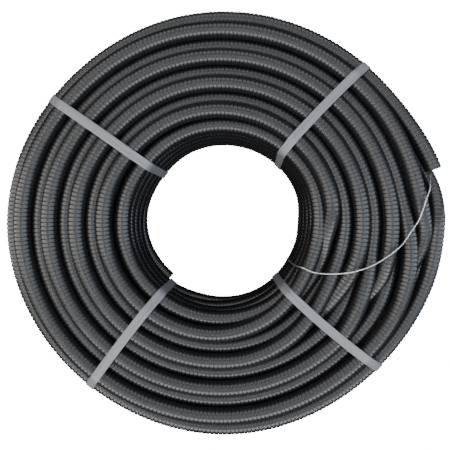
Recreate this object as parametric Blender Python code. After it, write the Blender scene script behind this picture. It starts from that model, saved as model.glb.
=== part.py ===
"""A coil of ribbed plastic hose, bound with four straps, with its draw wire led out of the outer end.

The hose is wound on a drum from the inside out, in cylindrical layers. The turns of each layer lie in the
valleys of the layer before, so layers of five turns and of six turns alternate. The coil lies flat, its axis
is Z, and the undersides of the straps are at Z = 0. Azimuths are measured from +X towards +Y.
"""

import math

import bmesh
import bpy
from mathutils import Vector
from mathutils.geometry import interpolate_bezier

# Hose
HOSE_D = 0.0160  # over the ribs
GROOVE_D = 0.0136  # between the ribs
BORE_D = 0.0118
RIB_PITCH = 0.0041
HOSE_SIDES = 12

# Winding
FIRST_LAYER_R = 0.1010  # centreline of the innermost layer
LAYER_STEP = 0.0135  # from one layer to the next, with the ribs nested
LAYERS = 9  # odd, so that the outermost layer is a short one like the innermost
SHORT_LAYER_TURNS = 5
LOOSENESS = 0.024  # share by which the layers stand further apart along X, and closer along Y
CROSSOVER = (300.0, 360.0)  # azimuths between which the hose steps from one turn to the next

# Free ends
OUTER_END_AZIMUTH = 14.0  # where the last turn is cut
OUTER_END_SPRING = 0.0060  # how far that end springs out of the coil
INNER_END_AZIMUTH = 222.0  # where the first turn starts
INNER_END_SPRING = 0.0050
BORE_DEPTH = 0.030  # open depth of each cut end

# Straps
STRAP_WIDTH = 0.0090
STRAP_T = 0.0007
STRAP_LAP = 0.030  # where the two ends of a strap are welded on top of each other

# Draw wire
WIRE_D = 0.0015
WIRE_POINT_SPACING = 3.0 * WIRE_D

# Clearances and mesh fineness
SEAT_GAP = 0.0003
COIL_SEGMENTS = 40
TURN_TRIM = 30.0  # degrees of each turn's outline that its valley hides, at either side
TURN_POINTS = 3  # outline points on each turn
SEAT_POINTS = 5  # outline points on the turns that end in a free end
LIP = 10.0  # degrees by which the seat of a free end stops short of its neighbours
STEP_WIDTH = 0.8  # degrees over which the coil's outline drops at a free end

# Azimuths in degrees of each strap: top outside, top inside, bottom inside and bottom outside
STRAPS = {
    "strap_upper_right": (47.7, 50.5, 45.5, 47.0),
    "strap_upper_left": (144.4, 143.6, 142.8, 143.8),
    "strap_lower_left": (230.8, 228.4, 229.6, 230.6),
    "strap_lower_right": (317.0, 312.4, 312.0, 315.4),
}

# Route of the draw wire: out of the outer end, over the coil and down the wall of the centre hole. Each point
# is given as layers out from the innermost one, azimuth, and turns down from the top of the coil.
WIRE_ROUTE = [
    (8.324, 20.50, 1.262),
    (8.374, 18.01, 1.262),
    (8.420, 15.57, 1.212),
    (8.421, 14.01, 1.074),
    (8.304, 13.19, 0.880),
    (8.011, 12.33, 0.580),
    (7.732, 11.09, 0.274),
    (7.467, 9.30, 0.005),
    (7.041, 6.71, -0.126),
    (6.433, 0.90, -0.113),
    (5.831, -3.19, -0.113),
    (5.221, -7.79, -0.113),
    (3.978, -14.25, -0.132),
    (3.153, -18.10, -0.120),
    (2.213, -21.83, -0.120),
    (1.371, -24.64, -0.126),
    (0.693, -27.05, -0.020),
    (-0.006, -29.41, 0.337),
    (-0.710, -30.10, 0.455),
    (-0.937, -30.90, 0.768),
    (-1.090, -31.50, 1.349),
    (-1.061, -31.90, 2.180),
    (-1.032, -31.90, 3.430),
    (-1.032, -32.00, 4.680),
    (-1.040, -32.30, 5.805),
]

HOSE_R = HOSE_D / 2
LONG_LAYER_TURNS = SHORT_LAYER_TURNS + 1
INNER_WALL_R = FIRST_LAYER_R - HOSE_R
# The coil's flat facets stand this much closer to what curves past them than a round wall would
FACET_RISE = INNER_WALL_R * (1.0 - math.cos(math.pi / COIL_SEGMENTS))
CURVED_GAP = SEAT_GAP + FACET_RISE
COIL_BOTTOM = STRAP_T + CURVED_GAP
OUTER_WALL_R = FIRST_LAYER_R + (LAYERS - 1) * LAYER_STEP + HOSE_R
COIL_HEIGHT = LONG_LAYER_TURNS * HOSE_D
OUTER_END_ROOT = STRAPS["strap_upper_right"][0]  # the strap that hides where each free end starts
INNER_END_ROOT = STRAPS["strap_upper_left"][2]


def clear_scene():
    for obj in list(bpy.data.objects):
        bpy.data.objects.remove(obj, do_unlink=True)


def material(name, colour, roughness, metallic=0.0):
    made = bpy.data.materials.new(name)
    made.use_nodes = True
    shader = made.node_tree.nodes["Principled BSDF"]
    shader.inputs["Base Color"].default_value = (*colour, 1.0)
    shader.inputs["Roughness"].default_value = roughness
    shader.inputs["Metallic"].default_value = metallic
    made.diffuse_color = (*colour, 1.0)
    return made


def smooth_step(t):
    t = min(max(t, 0.0), 1.0)
    return t * t * (3.0 - 2.0 * t)


def place(radius, azimuth, z):
    """The point at this radius of the wound coil, with the layers' looseness added."""
    angle = math.radians(azimuth)
    looser = 1.0 + LOOSENESS * math.cos(2.0 * angle)
    true_radius = INNER_WALL_R + (radius - INNER_WALL_R) * looser
    return Vector((true_radius * math.cos(angle), true_radius * math.sin(angle), z))


def turn_centre(layer, turn):
    """(radius, z) of a turn, counted from 0 at the inside and at the bottom."""
    first = 0.5 if layer % 2 else 1.0
    return Vector((FIRST_LAYER_R + layer * LAYER_STEP, COIL_BOTTOM + HOSE_D * (turn + first)))


def round_turn(centre, radius, start, end, points):
    """Points on an arc in the (radius, z) plane, from one direction to another in degrees."""
    arc = []
    for i in range(points):
        angle = math.radians(start + (end - start) * i / (points - 1))
        arc.append(centre + radius * Vector((math.cos(angle), math.sin(angle))))
    return arc


def direction(a, b):
    return math.degrees(math.atan2(b.y - a.y, b.x - a.x))


def outline_turns():
    """The turns that make the outside of the coil's section, counter-clockwise from the outer bottom one."""
    last = LAYERS - 1
    outer = [turn_centre(last, turn) for turn in range(SHORT_LAYER_TURNS)]
    top = [
        turn_centre(layer, LONG_LAYER_TURNS - 1 if layer % 2 else SHORT_LAYER_TURNS - 1)
        for layer in range(last - 1, -1, -1)
    ]
    inner = [turn_centre(0, turn) for turn in range(SHORT_LAYER_TURNS - 2, -1, -1)]
    bottom = [turn_centre(layer, 0) for layer in range(1, last)]
    return outer + top + inner + bottom


def coil_outline(last_turn, first_turn):
    """The coil's section. Each argument is 1 where that end turn is part of the coil, and 0 where the turn
    is missing or lies loose, which leaves a seat for it."""
    turns = outline_turns()
    shares = {
        SHORT_LAYER_TURNS - 1: last_turn,
        SHORT_LAYER_TURNS + LAYERS - 1 + SHORT_LAYER_TURNS - 2: first_turn,
    }
    outline = []
    for i, centre in enumerate(turns):
        before = direction(centre, turns[i - 1])
        after = direction(centre, turns[(i + 1) % len(turns)])
        while after < before:
            after += 360.0
        start = before + TURN_TRIM
        end = after - TURN_TRIM
        if i not in shares:
            outline += round_turn(centre, HOSE_R, start, end, TURN_POINTS)
            continue
        seat_start = before + LIP
        seat_end = after - 360.0 - LIP
        seat_step = math.radians(seat_start - seat_end) / (SEAT_POINTS - 1)
        seat_r = (HOSE_R + CURVED_GAP) / math.cos(seat_step / 2)
        present = round_turn(centre, HOSE_R, start, end, SEAT_POINTS)
        absent = round_turn(centre, seat_r, seat_start, seat_end, SEAT_POINTS)
        outline += [gone.lerp(there, shares[i]) for gone, there in zip(absent, present)]
    return outline


def last_turn_share(azimuth):
    """How much of the last turn is part of the coil at this azimuth."""
    if azimuth < OUTER_END_ROOT:
        return 0.0
    sink = (azimuth - CROSSOVER[0]) / (CROSSOVER[1] - CROSSOVER[0])
    return 1.0 - smooth_step(sink)


def first_turn_share(azimuth):
    """How much of the first turn is part of the coil at this azimuth."""
    if azimuth < INNER_END_ROOT:
        return 1.0
    return smooth_step((azimuth - CROSSOVER[0]) / (CROSSOVER[1] - CROSSOVER[0]))


def new_object(name, mesh_builder, finish):
    mesh = bpy.data.meshes.new(name)
    bmesh.ops.recalc_face_normals(mesh_builder, faces=mesh_builder.faces)
    mesh_builder.to_mesh(mesh)
    mesh_builder.free()
    mesh.shade_smooth()
    mesh.set_sharp_from_angle(angle=math.radians(40.0))
    mesh.materials.append(finish)
    made = bpy.data.objects.new(name, mesh)
    bpy.context.scene.collection.objects.link(made)
    return made


def skin(builder, loops, closed):
    """Quads between successive loops of vertices, and back to the first one if closed."""
    pairs = list(zip(loops, loops[1:]))
    if closed:
        pairs.append((loops[-1], loops[0]))
    for here, there in pairs:
        for i in range(len(here)):
            j = (i + 1) % len(here)
            builder.faces.new((here[i], here[j], there[j], there[i]))


def make_coil(finish):
    azimuths = [360.0 * i / COIL_SEGMENTS for i in range(COIL_SEGMENTS)]
    azimuths = [a for a in azimuths if min(abs(a - OUTER_END_ROOT), abs(a - INNER_END_ROOT)) > STEP_WIDTH]
    for root in (OUTER_END_ROOT, INNER_END_ROOT):
        azimuths += [root - STEP_WIDTH / 2, root + STEP_WIDTH / 2]
    builder = bmesh.new()
    loops = []
    for azimuth in sorted(azimuths):
        outline = coil_outline(last_turn_share(azimuth), first_turn_share(azimuth))
        loops.append([builder.verts.new(place(r, azimuth, z)) for r, z in outline])
    skin(builder, loops, closed=True)
    return new_object("hose_coil", builder, finish)


def ring_on(builder, centre, across, radius):
    """A ring of vertices round a horizontal centreline, from its horizontal normal."""
    ring = []
    for i in range(HOSE_SIDES):
        angle = 2.0 * math.pi * (i + 0.5) / HOSE_SIDES
        offset = across * math.cos(angle) + Vector((0.0, 0.0, math.sin(angle)))
        ring.append(builder.verts.new(centre + radius * offset))
    return ring


def make_free_end(name, centreline_r, z, root, cut, spring, finish):
    """A ribbed stretch of hose that leaves the coil at one azimuth and is cut off, open, at another."""

    def centre_at(share):
        away = spring * smooth_step(share) * share
        return place(centreline_r + away, root + (cut - root) * share, z)

    length = centreline_r * math.radians(abs(cut - root))
    ribs = round(length / RIB_PITCH)
    stations = 2 * ribs
    bore_stations = round(BORE_DEPTH / length * stations)
    builder = bmesh.new()

    def ring_at(station, radius):
        share = station / stations
        ahead = centre_at(min(share + 0.5 / stations, 1.0))
        behind = centre_at(max(share - 0.5 / stations, 0.0))
        along = (ahead - behind).normalized()
        across = along.cross(Vector((0.0, 0.0, 1.0)))
        return ring_on(builder, centre_at(share), across, radius)

    rings = [ring_at(i, (GROOVE_D if i % 2 else HOSE_D) / 2) for i in range(stations + 1)]
    bore = [ring_at(stations - i, BORE_D / 2) for i in range(0, bore_stations + 1, 2)]
    skin(builder, rings + bore, closed=False)
    builder.faces.new(rings[0])
    builder.faces.new(bore[-1])
    return new_object(name, builder, finish)


def strap_path():
    """The taut path of a strap round the section, as (turn centre, direction, doubled) for each station."""
    last = LAYERS - 1
    corners = [
        turn_centre(last, 0),
        turn_centre(last, SHORT_LAYER_TURNS - 1),
        turn_centre(last - 1, LONG_LAYER_TURNS - 1),
        turn_centre(1, LONG_LAYER_TURNS - 1),
        turn_centre(0, SHORT_LAYER_TURNS - 1),
        turn_centre(0, 0),
        turn_centre(1, 0),
        turn_centre(last - 1, 0),
    ]
    path = []
    for i, corner in enumerate(corners):
        start = direction(corners[i - 1], corner) - 90.0
        turned = (direction(corner, corners[(i + 1) % len(corners)]) - 90.0 - start) % 360.0
        for share in (0.0, 0.5, 1.0):
            path.append((corner, start + turned * share, False))
        if i == 0:
            middle = (corners[0] + corners[1]) / 2
            half = Vector((0.0, STRAP_LAP / 2))
            edge = Vector((0.0, STRAP_T / 2))
            path.append((middle - half - edge, 0.0, False))
            path.append((middle - half, 0.0, True))
            path.append((middle + half, 0.0, True))
            path.append((middle + half + edge, 0.0, False))
    return path


def make_strap(name, azimuths, finish):
    top_out, top_in, bottom_in, bottom_out = [math.radians(a) for a in azimuths]

    def flat(radius, angle):
        return Vector((radius * math.cos(angle), radius * math.sin(angle)))

    def plan(r, z):
        """Where the strap crosses this point of the section, seen from above."""
        along = (r - INNER_WALL_R) / (OUTER_WALL_R - INNER_WALL_R)
        up = (z - COIL_BOTTOM) / COIL_HEIGHT
        top = flat(INNER_WALL_R, top_in).lerp(flat(OUTER_WALL_R, top_out), along)
        bottom = flat(INNER_WALL_R, bottom_in).lerp(flat(OUTER_WALL_R, bottom_out), along)
        return bottom.lerp(top, up)

    builder = bmesh.new()
    loops = []
    for centre, heading, doubled in strap_path():
        outward = Vector((math.cos(math.radians(heading)), math.sin(math.radians(heading))))
        under = HOSE_R + CURVED_GAP
        over = under + STRAP_T * (2 if doubled else 1)
        loop = []
        for reach, side in ((under, -1), (under, 1), (over, 1), (over, -1)):
            r, z = centre + outward * reach
            middle = plan(r, z)
            sideways = Vector((-middle.y, middle.x)).normalized()
            spot = middle + sideways * side * STRAP_WIDTH / 2
            azimuth = math.degrees(math.atan2(spot.y, spot.x))
            loop.append(builder.verts.new(place(spot.length, azimuth, z)))
        loops.append(loop)
    skin(builder, loops, closed=True)
    return new_object(name, builder, finish)


def smooth_route(route, spacing):
    """Points at an even spacing on a smooth curve through the route's points."""
    fine = []
    for i in range(len(route) - 1):
        before = route[max(i - 1, 0)]
        here = route[i]
        there = route[i + 1]
        after = route[min(i + 2, len(route) - 1)]
        reach = (there - here).length / 3
        leave = here + (there - before).normalized() * reach
        arrive = there - (after - here).normalized() * reach
        fine += interpolate_bezier(here, leave, arrive, there, 24)[:-1]
    fine.append(route[-1])
    length = sum((b - a).length for a, b in zip(fine, fine[1:]))
    steps = round(length / spacing)
    points = [fine[0]]
    travelled = 0.0
    for a, b in zip(fine, fine[1:]):
        step = (b - a).length
        while travelled + step >= len(points) * length / steps and len(points) < steps:
            points.append(a.lerp(b, (len(points) * length / steps - travelled) / step))
        travelled += step
    points.append(fine[-1])
    return points


def make_wire(finish):
    route = []
    for layers_out, azimuth, turns_down in WIRE_ROUTE:
        z = COIL_BOTTOM + COIL_HEIGHT - HOSE_D * turns_down
        route.append(place(FIRST_LAYER_R + LAYER_STEP * layers_out, azimuth, z))
    points = smooth_route(route, WIRE_POINT_SPACING)
    curve = bpy.data.curves.new("draw_wire", "CURVE")
    curve.dimensions = "3D"
    curve.bevel_depth = WIRE_D / 2
    curve.bevel_resolution = 2
    curve.use_fill_caps = True
    curve.materials.append(finish)
    spline = curve.splines.new("POLY")
    spline.points.add(len(points) - 1)
    for spot, point in zip(spline.points, points):
        spot.co = (*point, 1.0)
    wire = bpy.data.objects.new("draw_wire", curve)
    bpy.context.scene.collection.objects.link(wire)
    return wire


def main():
    clear_scene()
    hose = material("hose_plastic", (0.016, 0.016, 0.018), 0.36)
    band = material("strap_plastic", (0.30, 0.31, 0.33), 0.38)
    steel = material("wire_steel", (0.62, 0.61, 0.60), 0.30, metallic=1.0)
    make_coil(hose)
    last_centre = turn_centre(LAYERS - 1, SHORT_LAYER_TURNS - 1)
    outer_root = OUTER_END_ROOT - STEP_WIDTH
    make_free_end("hose_outer_end", *last_centre, outer_root, OUTER_END_AZIMUTH, OUTER_END_SPRING, hose)
    first_centre = turn_centre(0, 0)
    inner_root = INNER_END_ROOT + STEP_WIDTH
    make_free_end("hose_inner_end", *first_centre, inner_root, INNER_END_AZIMUTH, -INNER_END_SPRING, hose)
    for name, azimuths in STRAPS.items():
        make_strap(name, azimuths, band)
    make_wire(steel)


main()
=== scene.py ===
import math

import bpy
import numpy as np
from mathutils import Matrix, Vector


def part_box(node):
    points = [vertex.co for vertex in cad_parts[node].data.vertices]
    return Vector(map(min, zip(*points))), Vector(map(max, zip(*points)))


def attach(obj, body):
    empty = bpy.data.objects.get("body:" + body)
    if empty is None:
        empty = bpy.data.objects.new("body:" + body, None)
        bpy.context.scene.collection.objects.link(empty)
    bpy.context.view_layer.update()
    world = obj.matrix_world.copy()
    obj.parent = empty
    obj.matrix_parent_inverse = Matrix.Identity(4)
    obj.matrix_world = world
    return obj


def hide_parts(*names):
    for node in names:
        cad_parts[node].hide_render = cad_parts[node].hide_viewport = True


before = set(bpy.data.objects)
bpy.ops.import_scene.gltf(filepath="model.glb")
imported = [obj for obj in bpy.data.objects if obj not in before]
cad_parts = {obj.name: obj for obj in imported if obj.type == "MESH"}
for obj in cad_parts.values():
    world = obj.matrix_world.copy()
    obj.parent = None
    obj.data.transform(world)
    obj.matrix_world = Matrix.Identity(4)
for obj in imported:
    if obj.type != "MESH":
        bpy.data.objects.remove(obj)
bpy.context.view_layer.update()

# Camera. The coil is seen from straight above and from close by, so that the wall of its centre hole shows
# all round. The camera stands a little to one side, and the lens is shifted to keep the coil in the middle.
coil_low, coil_high = [Vector(corner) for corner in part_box("hose_coil")]
# The camera looks at a square of this width, at the height of the middle of the top turns
picture_width = 0.450
picture_height = coil_high.z - 0.008
camera_rise = 0.348
camera_aside = (0.012, 0.008)
coil_middle = (0.0010, -0.0029)
camera = bpy.data.cameras.new("camera")
camera.lens = camera.sensor_width * camera_rise / picture_width
camera.clip_start = 0.01
camera.shift_x = (coil_middle[0] - camera_aside[0]) / picture_width
camera.shift_y = (coil_middle[1] - camera_aside[1]) / picture_width
camera_object = bpy.data.objects.new("camera", camera)
camera_object.location = (*camera_aside, picture_height + camera_rise)
bpy.context.scene.collection.objects.link(camera_object)
bpy.context.scene.camera = camera_object

# Hose. One unbroken tube of black polyethylene, wound on a drum from the inside out, layer on layer, five and
# six turns high by turns. This is its smooth wall, which runs through every turn from end to end.
rows_high = 6
hose_layers = 9
hose_d = (coil_high.z - coil_low.z) / rows_high
rib_r = hose_d / 2
groove_r = rib_r * 0.905
bore_r = 0.0059
inner_r = 0.093
mean_outer_r = (coil_high.x + coil_high.y) / 2
looseness = (coil_high.x - coil_high.y) / (2 * (mean_outer_r - inner_r))
layer_step = (mean_outer_r - inner_r - hose_d) / (hose_layers - 1)
# Azimuths, in degrees, where the hose begins and ends, and where its two ends leave the wound turns
first_azimuth = 225.5
last_azimuth = 14.0
inner_root = 143.6
outer_root = 46.9
# How far each end springs away from them
inner_spring = 0.0050
outer_spring = 0.0060
# Azimuth and half-width of the stretch where each pair of layers crosses over on top, innermost pair first
crossings = [(303.0, 45.0), (309.0, 33.0), (331.0, 22.0), (349.0, 22.0), (367.0, 9.0)]
# The same for the turn that dives under it from above, with its push outwards, and for the one that rises
dives = [(352.0, 20.0, -0.0040), (326.0, 20.0, 0.0), (340.0, 14.0, 0.0035), (355.0, 15.0, 0.0048)]
climbs = [(335.0, 35.0, -0.0012), (320.0, 28.0, -0.0025), (334.0, 20.0, -0.0025), (349.0, 22.0, -0.0025)]
foot_crossing = (330.0, 26.0)
# Where a turn crosses to the next layer it bulges up on top and down at the foot, over this share of the way
crossing_lift_top = 0.0022
crossing_lift_foot = -0.0010
bulge_share = 0.55
# It rises a little before it moves out, and faster: shares of the crossing's half-width
rise_early = 0.10
rise_within = 1.8
# The first turns rise one after the other, over the hose's own first end
first_crossings = [(236.0, 20.0), (262.0, 30.0), (292.0, 35.0)]
# How far the outer end climbs, and how the turn below its mouth stands out: travel past it, width and push
outer_end_rise = 0.0018
pushed_out = (-11.0, 9.0, 0.0068)
# How far the layers lie to one side on the drum, by their radius
lean_at = [0.101, 0.1145, 0.1415, 0.1685, 0.1955, 0.209]
lean = [0.0028, 0.0056, 0.0052, 0.0048, 0.0036, 0.0002]
# How far the hole and the outermost turns are out of round, and how much closer the outer layers lie
hole_oval = 0.0012
outer_oval = 0.0015
outer_closer = 0.0008
# Bulges of the coil: azimuth, half-width and swell, and how much of it shows at shares of the way out
bulges = [
    (353.0, 21.0, 0.0045, {0.0: 0.0, 1.0: 1.0}),
    (335.0, 28.0, -0.0022, {0.0: 1.0, 1.0: 0.0}),
    (185.0, 16.0, 0.0008, {0.0: 0.0, 1.0: 1.0}),
    (272.0, 24.0, 0.0020, {0.0: 0.0, 1.0: 1.0}),
    (136.0, 24.0, -0.0024, {0.0: 0.5, 0.5: 0.9, 0.85: 1.0, 1.0: 0.4}),
]
# Where the foot of the innermost layer leans into the hole: azimuth, half-width and reach
hole_leans = [(0.0, 15.0, 0.0045), (330.0, 24.0, 0.0024), (152.0, 22.0, 0.0030)]


def smooth_step(t):
    t = np.clip(t, 0.0, 1.0)
    return t * t * (3.0 - 2.0 * t)


def hump(azimuth, centre, width):
    away = (azimuth - centre + 180.0) % 360.0 - 180.0
    return np.exp(-((away / width) ** 2))


def wound_turns():
    """Layer, row, radius and height of each turn, in the order in which the hose is wound."""
    turns = []
    for layer in range(hose_layers):
        rows = range(rows_high)[::-1] if layer % 2 else range(rows_high - 1)
        for row in rows:
            height = row + (0.5 if layer % 2 else 1.0)
            turns.append((layer, row, inner_r + rib_r + layer * layer_step, coil_low.z + hose_d * height))
    return turns


turns = wound_turns()
hose_start = -first_azimuth
hose_end = 360.0 * (len(turns) - 1) - last_azimuth


def hose_centre(travel):
    """Points of the centreline. Travel is degrees wound clockwise, so the azimuth is minus the travel."""
    travel = np.atleast_1d(np.asarray(travel, float))
    azimuth = -travel
    radius = np.full(travel.shape, turns[0][2])
    height = np.full(travel.shape, turns[0][3])
    for number in range(1, len(turns)):
        layer, row, radius_after, height_after = turns[number]
        last_layer, last_row, radius_before, height_before = turns[number - 1]
        on_top = max(row, last_row) >= rows_high - 2
        centre, half = crossings[last_layer // 2] if on_top else foot_crossing
        if number <= len(first_crossings):
            centre, half = first_crossings[number - 1]
        push = 0.0
        lift = 0.0
        if layer != last_layer:
            lift = crossing_lift_top if on_top else crossing_lift_foot
        elif on_top and layer % 2:
            centre, half, push = dives[layer // 2]
        elif on_top and layer < hose_layers - 1:
            centre, half, push = climbs[layer // 2]
        after = travel - 360.0 * number + centre
        out = smooth_step(after / (2.0 * half) + 0.5)
        up = out
        if layer != last_layer:
            up = smooth_step((after + rise_early * half) / (rise_within * half) + 0.5)
        radius += (radius_after - radius_before) * out
        height += (height_after - height_before) * up
        bell = np.exp(-((after / (bulge_share * half)) ** 2))
        radius += push * bell
        height += lift * bell
    height = np.minimum(height, turns[-1][3] + 0.5 * hose_d)
    # The two free ends spring away from the coil, and the turn under the outer end stands out below it
    last = np.clip((outer_root - azimuth - 360.0 * (len(turns) - 1)) / (outer_root - last_azimuth), 0.0, 1.0)
    first = np.clip((azimuth - inner_root) / (first_azimuth - inner_root), 0.0, 1.0)
    first = np.where(azimuth > 0.0, first, 0.0)
    height += outer_end_rise * smooth_step(last) * last
    radius += outer_spring * smooth_step(last) * last - inner_spring * smooth_step(first) * first
    past_mouth, width, push = pushed_out
    radius += push * np.exp(-(((travel - 360.0 * (len(turns) - 2) - past_mouth) / width) ** 2))
    # The drum lets the turns lie a little out of round
    angle = np.radians(azimuth)
    out_share = np.clip((radius - inner_r) / (mean_outer_r - inner_r), 0.0, 1.0)
    low_share = np.clip(1.0 - (height - coil_low.z) / (coil_high.z - coil_low.z), 0.0, 1.0)
    spread = inner_r + (radius - inner_r) * (1.0 + looseness * np.cos(2.0 * angle))
    spread -= np.interp(radius, lean_at, lean) * np.cos(angle) + outer_closer * out_share
    spread -= hole_oval * (1.0 - out_share) * (1.0 - np.cos(2.0 * angle))
    for centre, width, swell, shows in bulges:
        shown = np.interp(out_share, list(shows), list(shows.values()))
        spread += hump(azimuth, centre, width) * swell * shown
    outermost = np.interp(out_share, [0.85, 0.95], [0.0, 1.0])
    innermost = np.interp(out_share, [0.05, 0.15], [1.0, 0.0])
    spread += np.cos(2.0 * angle) ** 2 * outer_oval * outermost
    for centre, width, reach in hole_leans:
        spread -= hump(azimuth, centre, width) * reach * low_share * innermost
    return np.stack([spread * np.cos(angle), spread * np.sin(angle), height], axis=-1)


def lofted(name, rings, closed, lengths):
    """A skin through rings of points. Closed joins the last ring to the first. Its UV map holds the length
    along the hose, in metres, and the share of the way round it."""
    count, sides = rings.shape[:2]
    spans = count if closed else count - 1
    here = np.arange(spans)[:, None] * sides + np.arange(sides)[None, :]
    beside = np.arange(spans)[:, None] * sides + (np.arange(sides)[None, :] + 1) % sides
    there = (here + sides) % (count * sides)
    there_beside = (beside + sides) % (count * sides)
    quads = np.stack([here, beside, there_beside, there], axis=-1).reshape(-1, 4)
    mesh = bpy.data.meshes.new(name)
    mesh.vertices.add(count * sides)
    mesh.vertices.foreach_set("co", rings.reshape(-1).astype(np.float32))
    mesh.loops.add(quads.size)
    mesh.loops.foreach_set("vertex_index", quads.reshape(-1).astype(np.int32))
    mesh.polygons.add(len(quads))
    mesh.polygons.foreach_set("loop_start", np.arange(0, quads.size, 4, dtype=np.int32))
    mesh.update(calc_edges=True)
    mesh.shade_smooth()
    along = np.repeat(lengths[:spans], sides)
    ahead = np.repeat(np.roll(lengths, -1)[:spans], sides)
    low = np.tile(np.arange(sides) / sides, spans)
    high = low + 1.0 / sides
    corners = np.stack([along, low, along, high, ahead, high, ahead, low], axis=-1)
    mesh.uv_layers.new(name="along").data.foreach_set("uv", corners.reshape(-1).astype(np.float32))
    made = bpy.data.objects.new(name, mesh)
    bpy.context.scene.collection.objects.link(made)
    return made


def tube_rings(travel, radii, sides):
    """Rings of points square to the hose at these travels, each of its own radius."""
    centres = hose_centre(travel)
    nearby = 0.05
    along = hose_centre(np.asarray(travel) + nearby) - hose_centre(np.asarray(travel) - nearby)
    along /= np.linalg.norm(along, axis=1, keepdims=True)
    across = np.cross(along, [0.0, 0.0, 1.0])
    across /= np.linalg.norm(across, axis=1, keepdims=True)
    upward = np.cross(-across, along)
    around = (-2.0 * np.pi * np.arange(sides) / sides)[None, :, None]
    spokes = upward[:, None, :] * np.sin(around) - across[:, None, :] * np.cos(around)
    return centres[:, None, :] + spokes * np.asarray(radii)[:, None, None]


class Shade:
    """A value in a material's nodes. Sums on it, with numbers or with others, add the nodes for them."""

    def __init__(self, finish, socket):
        self.finish = finish
        self.socket = socket

    def maths(self, operation, *values):
        inputs = dict(enumerate(values))
        return self.finish.node("ShaderNodeMath", {"operation": operation}, inputs)

    def __add__(self, other):
        return self.maths("ADD", self, other)

    def __radd__(self, other):
        return self.maths("ADD", other, self)

    def __sub__(self, other):
        return self.maths("SUBTRACT", self, other)

    def __rsub__(self, other):
        return self.maths("SUBTRACT", other, self)

    def __mul__(self, other):
        return self.maths("MULTIPLY", self, other)

    def __rmul__(self, other):
        return self.maths("MULTIPLY", other, self)

    def __abs__(self):
        return self.maths("ABSOLUTE", self)

    def between(self, low, high):
        """0 up to the low value, 1 from the high one on, and a smooth rise from one to the other."""
        inputs = {"Value": self, "From Min": low, "From Max": high}
        return self.finish.node("ShaderNodeMapRange", {"interpolation_type": "SMOOTHSTEP"}, inputs)

    def wave(self):
        """A ridge of height 1 at every whole number, falling evenly to 0 halfway between."""
        return abs(self.maths("FRACT", self) - 0.5) * 2.0


class Finish:
    """A material: its nodes, and the shader that they feed."""

    def __init__(self, name):
        self.material = bpy.data.materials.new(name)
        self.material.use_nodes = True
        self.tree = self.material.node_tree
        self.shader = self.tree.nodes["Principled BSDF"]

    def node(self, kind, settings, inputs, output=0):
        made = self.tree.nodes.new(kind)
        for setting, value in settings.items():
            setattr(made, setting, value)
        for name, value in inputs.items():
            self.feed(made.inputs[name], value)
        return Shade(self, made.outputs[output])

    def feed(self, socket, value):
        if isinstance(value, Shade):
            self.tree.links.new(value.socket, socket)
        else:
            socket.default_value = value

    def surface(self, **inputs):
        for name, value in inputs.items():
            self.feed(self.shader.inputs[name.replace("_", " ")], value)

    def place(self):
        return self.node("ShaderNodeTexCoord", {}, {}, "Object")

    def noise(self, at, scale, detail=2.0):
        return self.node("ShaderNodeTexNoise", {}, {"Vector": at, "Scale": scale, "Detail": detail})

    def stretched(self, at, scale):
        return self.node("ShaderNodeMapping", {}, {"Vector": at, "Scale": scale})

    def along_and_across(self):
        uv = self.node("ShaderNodeUVMap", {"uv_map": "along"}, {})
        parts = self.tree.nodes.new("ShaderNodeSeparateXYZ")
        self.feed(parts.inputs["Vector"], uv)
        return uv, Shade(self, parts.outputs["X"]), Shade(self, parts.outputs["Y"])

    def mix(self, share, first, second):
        return self.node("ShaderNodeMix", {"data_type": "RGBA"}, {0: share, 6: first, 7: second}, 2)

    def bump(self, height, strength, distance):
        return self.node("ShaderNodeBump", {}, {"Strength": strength, "Distance": distance, "Height": height})


rib_pitch = 0.0041
hose_black = (0.0055, 0.0055, 0.0062, 1.0)
hose_scuffed = (0.0210, 0.0205, 0.0200, 1.0)
hose_plastic = Finish("hose_plastic")
place = hose_plastic.place()
uv, length_along, share_round = hose_plastic.along_and_across()
# Crowns of the ribs carry the scuffs. Patches of bloom are duller. Two mould seams run along the tube
crown = (length_along * (1.0 / rib_pitch) + 0.5).wave().between(0.35, 0.75)
patches = hose_plastic.noise(place, 24.0, 3.0)
scratches = hose_plastic.noise(hose_plastic.stretched(uv, (90.0, 900.0, 1.0)), 1.0, 3.0)
seam = (share_round * 2.0 + 0.31).wave().between(0.965, 0.99)
grain = hose_plastic.noise(place, 1900.0, 2.0)
scuffs = crown * scratches.between(0.56, 0.74) * patches.between(0.42, 0.62)
hose_plastic.surface(
    Base_Color=hose_plastic.mix(scuffs * 0.8, hose_black, hose_scuffed),
    Roughness=patches * 0.12 + scuffs * 0.12 + 0.26,
    Normal=hose_plastic.bump(grain * 0.4 + seam * 1.0 + scratches * 0.3, 0.35, 0.00005),
    IOR=1.51,
)

# Length along the hose, in a table by its travel
table_step = 0.5
table_travel = np.arange(hose_start, hose_end + table_step / 2, table_step)
table_centres = hose_centre(table_travel)
table_steps = np.linalg.norm(np.diff(table_centres, axis=0), axis=1)
table_length = np.concatenate([[0.0], np.cumsum(table_steps)])
hose_length = float(table_length[-1])

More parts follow.
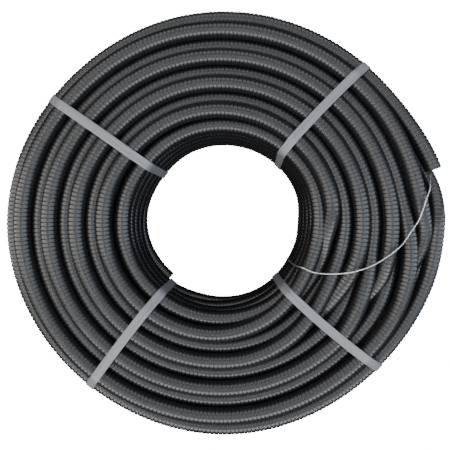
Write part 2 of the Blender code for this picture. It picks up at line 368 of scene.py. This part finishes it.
# The smooth wall stays just inside the grooves of the ribbed skins, with a ring every few degrees
wall_sides = 10
wall_step = 6.0
wall_outer_r = groove_r - 0.0002
wall_travel = np.linspace(hose_start, hose_end, int((hose_end - hose_start) / wall_step))
wall_outside = tube_rings(wall_travel, np.full(len(wall_travel), wall_outer_r), wall_sides)
wall_bore = tube_rings(wall_travel[::-1], np.full(len(wall_travel), bore_r), wall_sides)
wall_lengths = np.interp(wall_travel, table_travel, table_length)
wall_lengths = np.concatenate([wall_lengths, wall_lengths[::-1]])
hose_wall = lofted("hose_wall", np.concatenate([wall_outside, wall_bore]), True, wall_lengths)
hose_wall.data.materials.append(hose_plastic.material)
hose_path = [tuple(point) for point in hose_centre(wall_travel)]
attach(hose_wall, "root")
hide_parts("hose_coil", "hose_outer_end", "hose_inner_end")

# Ribs of the hose. The same tube's corrugation, pressed into it as it is made: a flat-topped ring every few
# millimetres with a narrow groove between. One skin for each run of turns that shows.
# The rib from groove to groove, as (share of the pitch, share of the rib's height)
rib_shape = [(0.00, 0.0), (0.09, 0.75), (0.14, 1.0), (0.19, 1.0), (0.81, 1.0), (0.86, 1.0), (0.91, 0.75)]
# The skin turns in at each end of the hose and lines its bore, with rings at these lengths in from the cut
mouth_depths = [0.0002, 0.0010, 0.0100, 0.0250, 0.0400]
lining_r = bore_r - 0.0001
# Sides of the tube where it shows on top, on the walls and underneath
sides_on_top = 20
sides_on_walls = 14
sides_below = 12
# Degrees of hose back from the start of the last turn, where the skins of the outer wall begin and end
last_turn_back = 402.0
outer_wall_half_back = 1070.0
outer_wall_back = 1840.0
# How far a skin runs past the middle of a crossing: shares of the crossing's half-width, and degrees below
run_before = 1.3
run_after = 1.6
foot_run = 40.0


def close_ends(made):
    """Fills the two open ends of a skin."""
    bpy.ops.object.select_all(action="DESELECT")
    bpy.context.view_layer.objects.active = made
    made.select_set(True)
    bpy.ops.object.mode_set(mode="EDIT")
    bpy.ops.mesh.select_all(action="DESELECT")
    bpy.ops.mesh.select_mode(type="EDGE")
    bpy.ops.mesh.select_non_manifold()
    bpy.ops.mesh.edge_face_add()
    bpy.ops.mesh.select_all(action="SELECT")
    bpy.ops.mesh.normals_make_consistent(inside=False)
    bpy.ops.object.mode_set(mode="OBJECT")
    made.select_set(False)


def ribs(name, travel_from, travel_to, sides):
    """The ribbed skin between two travels, cut at the nearest grooves. It is open where the hose is."""
    first, last = np.interp([travel_from, travel_to], table_travel, table_length) / rib_pitch
    numbers = np.arange(round(first), max(round(last), round(first) + 1))
    at = (numbers[:, None] + np.array([share for share, rise in rib_shape])[None, :]).reshape(-1)
    rise = np.tile([rise for share, rise in rib_shape], len(numbers))
    at = np.append(at, numbers[-1] + 1) * rib_pitch
    radii = groove_r + (rib_r - groove_r) * np.append(rise, 0.0)
    keep = (at > mouth_depths[1]) & (at < hose_length - mouth_depths[1])
    if travel_from > hose_start:
        keep = at < hose_length - mouth_depths[1]
    at, radii = at[keep], radii[keep]
    bore = np.full(len(mouth_depths), lining_r)
    if travel_from <= hose_start:
        at = np.concatenate([mouth_depths[::-1], mouth_depths[:1], at])
        radii = np.concatenate([bore, [groove_r], radii])
    if travel_to >= hose_end:
        at = np.concatenate([at, [hose_length - mouth_depths[0]], hose_length - np.array(mouth_depths)])
        radii = np.concatenate([radii, [groove_r], bore])
    travel = np.interp(at, table_length, table_travel)
    made = lofted(name, tube_rings(travel, radii, sides), False, at)
    close_ends(made)
    made.data.materials.append(hose_plastic.material)
    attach(made, "root")
    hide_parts("hose_coil")


def turn_number(layer, row):
    return [turn[:2] for turn in turns].index((layer, row))


layer_pairs = hose_layers // 2
for pair, (centre, half) in enumerate(crossings[:layer_pairs]):
    low_turn = turn_number(2 * pair, rows_high - 2)
    top_start = 360.0 * low_turn - centre - run_before * half
    top_end = 360.0 * (low_turn + 2) - centre + run_after * half
    ribs(f"top_turns_{pair + 1}", top_start, top_end, sides_on_top)
last_turn_start = 360.0 * (len(turns) - 1) - last_turn_back
outer_wall_start = 360.0 * (len(turns) - 1) - outer_wall_back
outer_wall_middle = 360.0 * (len(turns) - 1) - outer_wall_half_back
inner_wall_end = 360.0 * (rows_high - 2) - crossings[0][0] - run_before * crossings[0][1]
ribs("top_turn_last", last_turn_start, hose_end, sides_on_top)
ribs("outer_wall_turns_1", outer_wall_start, outer_wall_middle, sides_on_walls)
ribs("outer_wall_turns_2", outer_wall_middle, last_turn_start, sides_on_walls)
ribs("inner_wall_turns", hose_start, inner_wall_end, sides_on_walls)
for pair in range(layer_pairs):
    foot_turn = turn_number(2 * pair + 1, 0)
    foot_start = 360.0 * foot_turn - foot_crossing[0] - foot_run
    foot_end = 360.0 * (foot_turn + 2) - foot_crossing[0] + foot_run
    if pair == layer_pairs - 1:
        foot_end = outer_wall_start
    ribs(f"bottom_turns_{pair + 1}", foot_start, foot_end, sides_below)

# Straps. Four flat bands of pale polypropylene, pulled tight round the whole coil and each welded to itself
# where its two ends lap on the outer wall. A band is cut flat, laid round the turns and given its thickness.
strap_w = 0.0090
strap_t = 0.0007
strap_edge_r = 0.00022
strap_lap = 0.030
strap_weld_height = 0.030
strap_step = 0.0015
strap_clearance = 0.0003
strap_above_floor = 0.0002
# The lap rises over the band's first end within this length, and the film of its weld is this thick
lap_ramp = 0.006
weld_film = 0.00008
# Turns this near to a place on the strap's path can touch it there, and the weld is this near its outermost
touch_reach = 0.030
outermost_depth = 0.004
# Azimuths of each strap at the coil's top outside, top inside, bottom inside and bottom outside corners
strap_corners = {
    "strap_upper_right": (47.7, 50.5, 45.5, 47.0),
    "strap_upper_left": (144.4, 143.6, 142.8, 143.8),
    "strap_lower_left": (230.8, 228.4, 229.6, 230.6),
    "strap_lower_right": (317.0, 312.4, 312.0, 315.4),
}

strap_grey = (0.092, 0.095, 0.103, 1.0)
strap_milky = (0.145, 0.147, 0.155, 1.0)
strap_plastic = Finish("strap_plastic")
uv, length_along, width_across = strap_plastic.along_and_across()
# Rolled band: fine pressed diamonds, drawn streaks along it, and a dull bloom
diamonds_per_metre = 420.0
one_way = (length_along * diamonds_per_metre + width_across * diamonds_per_metre).wave()
other_way = (length_along * diamonds_per_metre - width_across * diamonds_per_metre).wave()
diamonds = one_way * other_way
streaks = strap_plastic.noise(strap_plastic.stretched(uv, (14.0, 900.0, 1.0)), 1.0, 3.0)
bloom = strap_plastic.noise(strap_plastic.place(), 45.0, 3.0)
strap_plastic.surface(
    Base_Color=strap_plastic.mix(streaks.between(0.35, 0.70) * 0.6 + bloom * 0.3, strap_grey, strap_milky),
    Roughness=bloom * 0.20 + diamonds * 0.06 + 0.32,
    Normal=strap_plastic.bump(diamonds * 0.7 + streaks * 0.5, 0.30, 0.00010),
)


def outline(points):
    """The convex outline of flat points, anticlockwise."""
    ordered = sorted(set(map(tuple, points)))
    halves = []
    for way in (ordered, ordered[::-1]):
        side = []
        for point in way:
            while len(side) > 1:
                a, b = side[-2], side[-1]
                if (b[0] - a[0]) * (point[1] - a[1]) - (b[1] - a[1]) * (point[0] - a[0]) > 0:
                    break
                side.pop()
            side.append(point)
        halves.append(side[:-1])
    return halves[0] + halves[1]


def even(points, spacing):
    """The same line with points a set distance apart."""
    points = np.asarray(points)
    reach = np.concatenate([[0.0], np.cumsum(np.linalg.norm(np.diff(points, axis=0), axis=1))])
    at = np.linspace(0.0, reach[-1], max(2, int(reach[-1] / spacing) + 1))
    return np.stack([np.interp(at, reach, points[:, i]) for i in range(points.shape[1])], axis=1)


def strap_azimuth(corners, radius, height):
    top_out, top_in, foot_in, foot_out = corners
    share = np.clip((radius - inner_r) / (mean_outer_r - inner_r), 0.0, 1.0)
    up = np.clip((height - coil_low.z) / (coil_high.z - coil_low.z), 0.0, 1.0)
    return up * (top_in + share * (top_out - top_in)) + (1.0 - up) * (foot_in + share * (foot_out - foot_in))


def strap_loop(corners):
    """Radius and height of points round the turns where the strap lies, from its weld on the outer wall."""
    whole_turns = 360.0 * np.arange(len(turns) + 1)
    touched = []
    for share in (0.0, 0.25, 0.5, 0.75, 1.0):
        for up in (0.0, 1.0):
            radius = inner_r + share * (mean_outer_r - inner_r)
            height = coil_low.z + up * (coil_high.z - coil_low.z)
            travel = whole_turns - strap_azimuth(corners, radius, height)
            centres = hose_centre(travel[(travel > hose_start) & (travel < hose_end)])
            flat = np.stack([np.hypot(centres[:, 0], centres[:, 1]), centres[:, 2]], axis=1)
            near_radius = np.abs(flat[:, 0] - radius) < touch_reach
            near_height = (flat[:, 1] > 0.5 * (coil_low.z + coil_high.z)) == (up > 0.5)
            for r, z in flat[near_radius & near_height]:
                for turn in np.linspace(0.0, 2.0 * math.pi, 24, endpoint=False):
                    edge_r = r + (rib_r + strap_clearance) * math.cos(turn)
                    edge_z = z + (rib_r + strap_clearance) * math.sin(turn)
                    touched.append((round(edge_r, 6), round(max(edge_z, strap_t + strap_above_floor), 6)))
    loop = np.array(outline(touched))
    outermost = loop[:, 0] > loop[:, 0].max() - outermost_depth
    weld = int(np.argmin(np.where(outermost, np.abs(loop[:, 1] - strap_weld_height), np.inf)))
    loop = np.roll(loop, -weld, axis=0)
    loop = even(np.vstack([loop, loop[:1]]), strap_step)
    for _ in range(3):
        loop[1:-1] = 0.25 * loop[:-2] + 0.5 * loop[1:-1] + 0.25 * loop[2:]
    return loop


def strap(name):
    corners = strap_corners[name]
    loop = strap_loop(corners)
    girth = float(np.sum(np.linalg.norm(np.diff(loop, axis=0), axis=1)))
    step = girth / (len(loop) - 1)
    line = np.vstack([loop, loop[1 : int(strap_lap / step)]])
    along = np.gradient(line, axis=0)
    along /= np.linalg.norm(along, axis=1, keepdims=True)
    lapped = (strap_t + weld_film) * smooth_step((np.arange(len(line)) * step - girth + lap_ramp) / lap_ramp)
    bpy.ops.object.select_all(action="DESELECT")
    bpy.ops.mesh.primitive_grid_add(x_subdivisions=len(line) - 1, y_subdivisions=4, size=1.0)
    band = bpy.context.object
    band.name = name + "_band"
    band.data.uv_layers[0].name = "along"
    for corner in band.data.uv_layers[0].data:
        corner.uv = (corner.uv[0] * step * len(line), corner.uv[1] * strap_w)
    for vertex in band.data.vertices:
        stop = round((vertex.co.x + 0.5) * (len(line) - 1))
        r, z = line[stop]
        azimuth = math.radians(strap_azimuth(corners, r, z))
        outward = Vector((math.cos(azimuth), math.sin(azimuth), 0.0))
        sideways = Vector((math.sin(azimuth), -math.cos(azimuth), 0.0))
        proud = (outward * along[stop][1] - Vector((0.0, 0.0, along[stop][0]))) * lapped[stop]
        vertex.co = outward * r + Vector((0.0, 0.0, z)) + proud + sideways * vertex.co.y * strap_w
    thickness = band.modifiers.new("thickness", "SOLIDIFY")
    thickness.thickness = strap_t
    thickness.offset = 1.0
    edges = band.modifiers.new("rolled_edges", "BEVEL")
    edges.width = strap_edge_r
    edges.segments = 2
    edges.limit_method = "ANGLE"
    edges.angle_limit = math.radians(60.0)
    bpy.ops.object.modifier_apply(modifier="thickness")
    bpy.ops.object.modifier_apply(modifier="rolled_edges")
    bpy.ops.object.shade_smooth_by_angle(angle=math.radians(50.0))
    band.data.materials.append(strap_plastic.material)
    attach(band, "root")
    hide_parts(name)


for name in strap_corners:
    strap(name)

# Draw wire. Thin galvanised steel wire that runs through the hose to pull cables in. Its tail comes out of
# the outer end, lies over the coil and hangs down the wall of the centre hole, cut off bare.
wire_d = 0.0014
wire_sides = 10
wire_spacing = 0.0015
# Layers out from the innermost one, azimuth, and turns down from the top of the coil
wire_route = [
    (8.324, 20.50, 1.262),
    (8.374, 18.01, 1.262),
    (8.420, 15.57, 1.212),
    (8.421, 14.01, 1.074),
    (8.304, 13.19, 0.880),
    (8.011, 12.33, 0.580),
    (7.732, 11.09, 0.274),
    (7.467, 9.30, 0.005),
    (7.041, 6.71, -0.126),
    (6.433, 0.90, -0.113),
    (5.831, -3.19, -0.113),
    (5.221, -7.79, -0.113),
    (3.978, -14.25, -0.132),
    (3.153, -18.10, -0.120),
    (2.213, -21.83, -0.120),
    (1.371, -24.64, -0.126),
    (0.693, -27.05, -0.020),
    (-0.006, -29.41, 0.337),
    (-0.710, -30.10, 0.455),
    (-0.937, -30.90, 0.768),
    (-1.090, -31.50, 1.349),
    (-1.061, -31.90, 2.180),
    (-1.032, -31.90, 3.430),
    (-1.032, -32.00, 4.680),
    (-1.040, -32.30, 5.805),
]

zinc = (0.52, 0.52, 0.52, 1.0)
zinc_dull = (0.30, 0.295, 0.285, 1.0)
wire_steel = Finish("wire_steel")
uv = wire_steel.along_and_across()[0]
# Dull patches in the zinc, and the fine lines that the drawing die leaves along the wire
spangle = wire_steel.noise(wire_steel.place(), 420.0, 3.0)
die_lines = wire_steel.noise(wire_steel.stretched(uv, (60.0, 24.0, 1.0)), 1.0, 2.0)
wire_steel.surface(
    Base_Color=wire_steel.mix(spangle.between(0.40, 0.65), zinc, zinc_dull),
    Roughness=spangle * 0.20 + die_lines * 0.12 + 0.34,
    Normal=wire_steel.bump(die_lines + spangle * 0.4, 0.30, 0.00004),
    Metallic=1.0,
)


def wire_point(layers_out, azimuth, turns_down):
    angle = math.radians(azimuth)
    looser = 1.0 + looseness * math.cos(2.0 * angle)
    radius = inner_r + (rib_r + layers_out * layer_step) * looser
    return Vector((radius * math.cos(angle), radius * math.sin(angle), coil_high.z - hose_d * turns_down))


def smooth_line(route, spacing):
    """A smooth line through the route, as points a set distance apart."""
    tangents = []
    for i in range(len(route)):
        before, after = route[max(i - 1, 0)], route[min(i + 1, len(route) - 1)]
        tangents.append((after - before).normalized())
    fine = []
    for i in range(len(route) - 1):
        a, b = route[i], route[i + 1]
        handle = (b - a).length / 3.0
        p, q = a + tangents[i] * handle, b - tangents[i + 1] * handle
        for t in np.linspace(0.0, 1.0, 12, endpoint=False):
            t = float(t)
            fine.append(a * (1 - t) ** 3 + p * 3 * t * (1 - t) ** 2 + q * 3 * t * t * (1 - t) + b * t**3)
    fine.append(route[-1])
    return even(fine, spacing)


def wire_rings(line, sides):
    """Rings square to the wire, turned as little as possible from one to the next."""
    along = np.gradient(line, axis=0)
    along /= np.linalg.norm(along, axis=1, keepdims=True)
    side = Vector((0.0, 0.0, 1.0))
    rings = []
    for point, way in zip(line, along):
        way = Vector(way)
        side = (side - way * side.dot(way)).normalized()
        other = way.cross(side)
        ring = []
        for turn in np.linspace(0.0, 2.0 * math.pi, sides, endpoint=False):
            ring.append(Vector(point) + (side * math.cos(turn) + other * math.sin(turn)) * (wire_d / 2))
        rings.append(ring)
    return np.array(rings)


wire_line = smooth_line([wire_point(*stop) for stop in wire_route], wire_spacing)
wire_reach = np.arange(len(wire_line)) * wire_spacing
wire_tail = lofted("draw_wire_tail", wire_rings(wire_line, wire_sides), False, wire_reach)
close_ends(wire_tail)
wire_tail.data.materials.append(wire_steel.material)
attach(wire_tail, "root")
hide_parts("draw_wire")

# Floor. A plain white sheet under the coil, which glows evenly and lends the coil no light of its own. Under
# it lies a black board, so that the underside of the hose meets something dark.
floor_width = 6.0
floor_glow = 18.0
board_depth = 0.002
bpy.ops.object.select_all(action="DESELECT")
bpy.ops.mesh.primitive_plane_add(size=floor_width)
floor = bpy.context.object
floor.name = "floor"
floor.visible_diffuse = False
floor.visible_glossy = False
floor_paint = Finish("floor_paint")
floor_paint.surface(
    Base_Color=(0.9, 0.9, 0.9, 1.0),
    Emission_Color=(1.0, 1.0, 1.0, 1.0),
    Emission_Strength=floor_glow,
)
floor.data.materials.append(floor_paint.material)
bpy.ops.mesh.primitive_plane_add(size=floor_width, location=(0.0, 0.0, -board_depth))
board = bpy.context.object
board.name = "board_under_floor"
board_paint = Finish("board_paint")
board_paint.surface(Base_Color=(0.0, 0.0, 0.0, 1.0), Roughness=1.0, Specular_IOR_Level=0.0)
board.data.materials.append(board_paint.material)

# Light. Five soft boxes stand round the coil as a tent: four at its sides, warmer at the left and cooler at
# the right, and a dim one overhead. All of them face the middle of the coil.
world_glow = 0.10
lit_height = 0.05
world = bpy.data.worlds.new("world")
bpy.context.scene.world = world
world.use_nodes = True
world.node_tree.nodes["Background"].inputs["Color"].default_value = (0.95, 0.97, 1.0, 1.0)
world.node_tree.nodes["Background"].inputs["Strength"].default_value = world_glow


def soft_box(name, place, size, brightness, colour):
    lamp = bpy.data.lights.new(name, "AREA")
    lamp.shape = "RECTANGLE"
    lamp.size, lamp.size_y = size
    lamp.energy = brightness * math.pi * size[0] * size[1]
    lamp.color = colour
    box = bpy.data.objects.new(name, lamp)
    box.location = place
    facing = Vector((0.0, 0.0, lit_height)) - Vector(place)
    box.rotation_euler = facing.to_track_quat("-Z", "Y").to_euler()
    bpy.context.scene.collection.objects.link(box)


side_box = (0.75, 2.8)
end_box = (2.8, 0.8)
soft_box("left_box", (-1.2, 0.0, 0.95), side_box, 5.4, (1.0, 0.97, 0.92))
soft_box("right_box", (1.2, 0.0, 0.95), side_box, 4.7, (0.76, 0.87, 1.0))
soft_box("near_box", (0.0, -1.1, 1.10), end_box, 7.4, (0.96, 0.98, 1.0))
soft_box("far_box", (0.0, 1.1, 1.10), end_box, 2.8, (0.96, 0.98, 1.0))
soft_box("top_box", (0.0, 0.0, 1.50), (1.3, 1.3), 0.9, (0.95, 0.97, 1.0))
